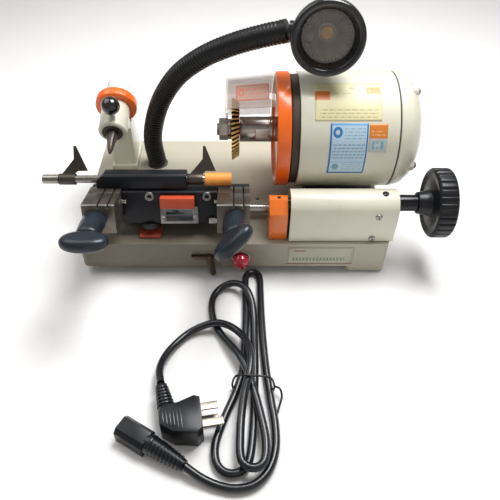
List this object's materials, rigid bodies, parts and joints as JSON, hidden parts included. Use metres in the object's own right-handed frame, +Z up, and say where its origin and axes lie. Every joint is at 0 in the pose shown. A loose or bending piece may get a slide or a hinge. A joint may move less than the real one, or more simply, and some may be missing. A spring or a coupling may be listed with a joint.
{
  "type": "key duplicating machine",
  "caption": "Bench key duplicating machine with motor-driven cutter, tracer, swinging twin-clamp carriage, feed hand wheel, gooseneck lamp and loose mains lead.",
  "frame": {"origin": "on the bench under the middle of the machine's box, power lead left out", "axes": "+X along the machine towards the hand wheel, +Y to the rear, +Z up"},
  "size_m": [0.3876, 0.4078, 0.2448],
  "materials": {
    "cream_paint": "cream enamel, satin",
    "black_rubber": "moulded, matt",
    "dark_casting": "dark grey-brown, as cast and painted",
    "lamination": "stacked steel laminations",
    "ground_steel": "ground bright",
    "bearing_steel": "polished",
    "orange_plastic": "moulded, satin gloss",
    "clear_plastic": "clear moulded guard, faintly smoky",
    "coated_cutter": "gold coated teeth over dark steel",
    "plated_steel": "zinc plated",
    "white_plastic": "moulded",
    "dark_steel": "blued",
    "gloss_black": "polished ball",
    "orange_paint": "orange enamel",
    "black_plastic": "moulded, satin",
    "black_steel": "blackened",
    "black_paint": "black enamel",
    "orange_sleeve": "pale orange sleeve",
    "clamp_steel": "worn, milled",
    "slate_plastic": "dark slate moulding",
    "red_plastic": "moulded",
    "red_rubber": "moulded",
    "ruby_plastic": "polished dome",
    "bronze_steel": "dark bronze",
    "neck_black": "ribbed flexible sheath",
    "lamp_black": "satin black",
    "lamp_lens": "ribbed reflector behind clear glass",
    "cord_black": "PVC, satin"
  },
  "bodies": {
    "frame": {"base_casting": "cream_paint", "rubber_foot_1": "black_rubber", "rubber_foot_2": "black_rubber", "rubber_foot_3": "black_rubber", "rubber_foot_4": "black_rubber", "motor_shell": "cream_paint", "motor_front_bell": "dark_casting", "motor_rear_bell": "cream_paint", "motor_pedestal": "dark_casting", "stator_core": "lamination", "front_bearing": "bearing_steel", "rear_bearing": "bearing_steel", "guard_flange": "orange_plastic", "cutter_guard": "clear_plastic", "tracer_post": "cream_paint", "screw_bearing_block": "orange_paint", "feed_cover": "cream_paint", "left_rod_block": "dark_casting", "right_rod_block": "dark_casting", "stop_pad": "red_rubber", "switch_body": "black_plastic", "inlet_socket": "black_plastic", "gooseneck_lower": "neck_black", "lead_connector_end": "cord_black", "lead_plug_end": "cord_black", "lead_hank": "cord_black", "inlet_connector": "cord_black", "mains_plug": "cord_black"},
    "spindle": {"rotor": "ground_steel", "arbor": "ground_steel", "cutter": "coated_cutter", "arbor_nut": "plated_steel"},
    "wheel": {"handwheel": "black_plastic", "feed_screw": "black_steel"},
    "feed": {"pivot_rod": "ground_steel", "feed_arm": "dark_casting"},
    "carriage": {"carriage_body": "black_paint", "gauge_rail": "black_paint", "left_rear_jaw": "clamp_steel", "right_rear_jaw": "clamp_steel", "badge_frame": "plated_steel", "stop_screw": "black_plastic"},
    "left_jaw": {"left_front_jaw": "clamp_steel"},
    "right_jaw": {"right_front_jaw": "clamp_steel"},
    "left_knob": {"left_wing_knob": "slate_plastic"},
    "right_knob": {"right_wing_knob": "slate_plastic"},
    "gauges": {"gauge_shaft": "ground_steel", "left_fishtail": "dark_steel", "right_fishtail": "dark_steel", "gauge_sleeve": "orange_sleeve"},
    "release": {"release_button": "red_plastic"},
    "power": {"power_button": "ruby_plastic"},
    "latch": {"latch_lever": "bronze_steel"},
    "tracer_adjuster": {"tracer_ring": "orange_plastic"},
    "tracer_pin": {"tracer_stylus": "dark_steel", "tracer_cap": "white_plastic"},
    "tracer_clamp": {"tracer_lock": "gloss_black"},
    "lamp_neck": {"gooseneck_upper": "neck_black"},
    "lamp": {"lamp_head": "lamp_black", "lamp_lens": "lamp_lens"}
  },
  "joints": [
    {"name": "spindle_spin", "type": "hinge", "parent": "frame", "child": "spindle", "pos_m": [0.0128, 0.03513, 0.1125], "axis": [1, 0, 0], "continuous": true},
    {"name": "handwheel_turn", "type": "hinge", "parent": "frame", "child": "wheel", "pos_m": [0.1828, -0.03437, 0.075], "axis": [1, 0, 0], "range_deg": [-1440, 1080]},
    {"name": "carriage_feed", "type": "slide", "parent": "frame", "child": "feed", "axis": [1, 0, 0], "range_m": [-0.0201, 0.0151]},
    {"name": "carriage_swing", "type": "hinge", "parent": "feed", "child": "carriage", "pos_m": [-0.0772, -0.01337, 0.0505], "axis": [-1, 0, 0], "range_deg": [0, 45]},
    {"name": "left_jaw_slide", "type": "slide", "parent": "carriage", "child": "left_jaw", "axis": [0, -0.9641, 0.2656], "range_m": [0, 0.0039]},
    {"name": "right_jaw_slide", "type": "slide", "parent": "carriage", "child": "right_jaw", "axis": [0, -0.9641, 0.2656], "range_m": [0, 0.0039]},
    {"name": "left_knob_turn", "type": "hinge", "parent": "left_jaw", "child": "left_knob", "pos_m": [-0.1367, -0.07608, 0.08644], "axis": [0, -0.9641, 0.2656], "range_deg": [0, 720]},
    {"name": "right_knob_turn", "type": "hinge", "parent": "right_jaw", "child": "right_knob", "pos_m": [-0.0112, -0.07608, 0.08644], "axis": [0, -0.9641, 0.2656], "range_deg": [0, 720]},
    {"name": "gauge_turn", "type": "hinge", "parent": "carriage", "child": "gauges", "pos_m": [-0.0972, -0.01937, 0.09198], "axis": [1, 0, 0], "range_deg": [0, 85]},
    {"name": "release_press", "type": "slide", "parent": "carriage", "child": "release", "axis": [0, 0.9641, -0.2656], "range_m": [0, 0.003], "stiffness_N_per_m": 900},
    {"name": "power_press", "type": "slide", "parent": "frame", "child": "power", "axis": [0, 1, 0], "range_m": [0, 0.0022], "stiffness_N_per_m": 900},
    {"name": "latch_turn", "type": "hinge", "parent": "frame", "child": "latch", "pos_m": [-0.0357, -0.05737, 0.0235], "axis": [0, -1, 0], "range_deg": [-10, 60]},
    {"name": "tracer_ring_turn", "type": "hinge", "parent": "frame", "child": "tracer_adjuster", "pos_m": [-0.1337, 0.07361, 0.1174], "axis": [0, 0.9659, 0.2588], "range_deg": [-362, 62]},
    {"name": "tracer_pin_slide", "type": "slide", "parent": "frame", "child": "tracer_pin", "axis": [0, 0.9659, 0.2588], "range_m": [-0.00016, 0.00098]},
    {"name": "tracer_lock_turn", "type": "hinge", "parent": "frame", "child": "tracer_clamp", "pos_m": [-0.1337, 0.05063, 0.13], "axis": [0, 0, 1], "range_deg": [-35, 35]},
    {"name": "lamp_bend", "type": "hinge", "parent": "frame", "child": "lamp_neck", "pos_m": [-0.0654, 0.06773, 0.1543], "axis": [0, -1, 0], "range_deg": [-2, 15]},
    {"name": "lamp_tilt", "type": "hinge", "parent": "lamp_neck", "child": "lamp", "pos_m": [0.0368, 0.03973, 0.2104], "axis": [0.9358, -0.2402, 0.2582], "range_deg": [-20, 20]}
  ],
  "couplings": [
    {"joint": "carriage_feed", "follows": "handwheel_turn", "m_per_rad": 0.00079577},
    {"joint": "left_knob_turn", "follows": "left_jaw_slide", "rad_per_m": 3141.6},
    {"joint": "right_knob_turn", "follows": "right_jaw_slide", "rad_per_m": 3141.6},
    {"joint": "tracer_ring_turn", "follows": "tracer_pin_slide", "rad_per_m": -6283.2}
  ]
}
